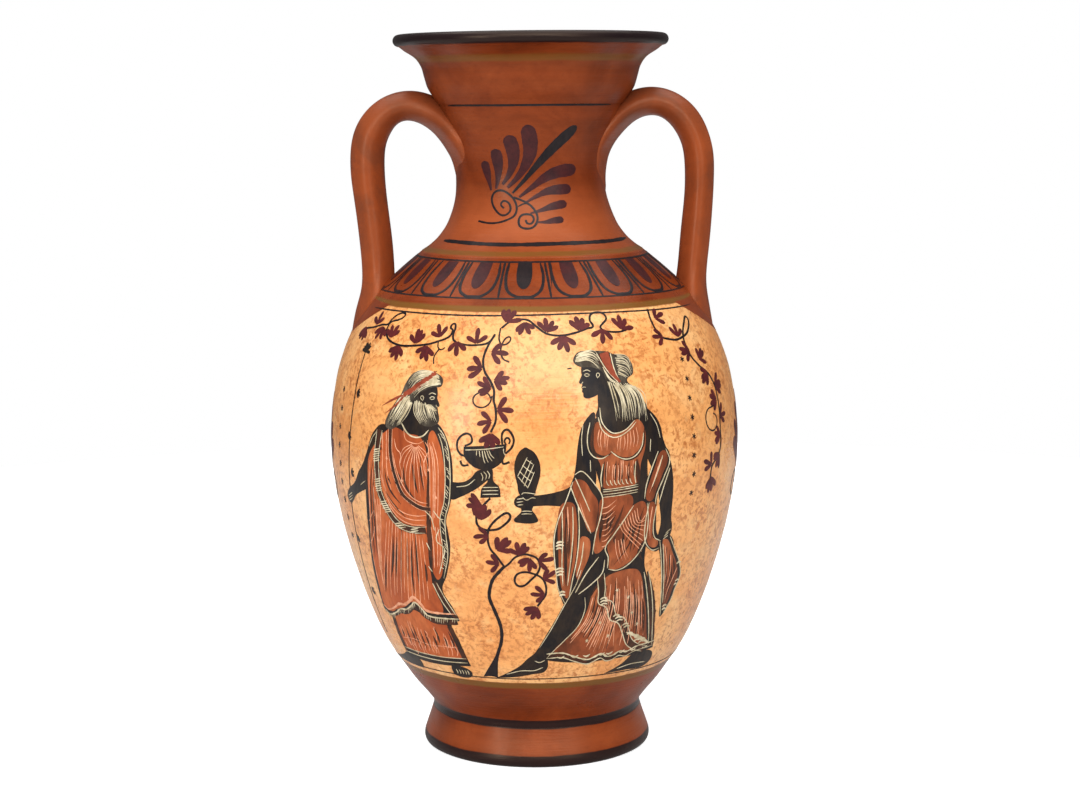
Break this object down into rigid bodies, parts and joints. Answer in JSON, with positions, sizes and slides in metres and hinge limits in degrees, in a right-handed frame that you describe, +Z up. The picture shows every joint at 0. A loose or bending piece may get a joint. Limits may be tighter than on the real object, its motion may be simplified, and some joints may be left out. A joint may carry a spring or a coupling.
{
  "type": "painted two-handled amphora",
  "caption": "Ovoid clay amphora with flared mouth, waisted neck, strap handles from neck to shoulder, ring foot and a hand-painted figure scene on the front.",
  "frame": {"origin": "centre of the standing face, on the vertical axis of the vessel", "axes": "+Z up along the vessel's axis; the handles lie along X; the painted front faces -Y"},
  "size_m": [0.1894, 0.1894, 0.33],
  "materials": {
    "burnished_terracotta": "burnished, soft semi-gloss, mottled red-brown",
    "ochre_engobe": "sponged ochre over cream slip, satin",
    "black_slip": "brushed black slip, satin",
    "plum_slip": "brushed plum-brown slip, satin",
    "red_slip": "shaded orange-red slip, satin",
    "straw_slip": "incised and pale straw strokes, matt",
    "olive_wash": "thin olive-brown wash, satin"
  },
  "bodies": {
    "root": {"foot": "burnished_terracotta", "body": "ochre_engobe", "neck": "burnished_terracotta", "mouth": "burnished_terracotta", "handle_left": "burnished_terracotta", "handle_right": "burnished_terracotta"}
  },
  "joints": []
}
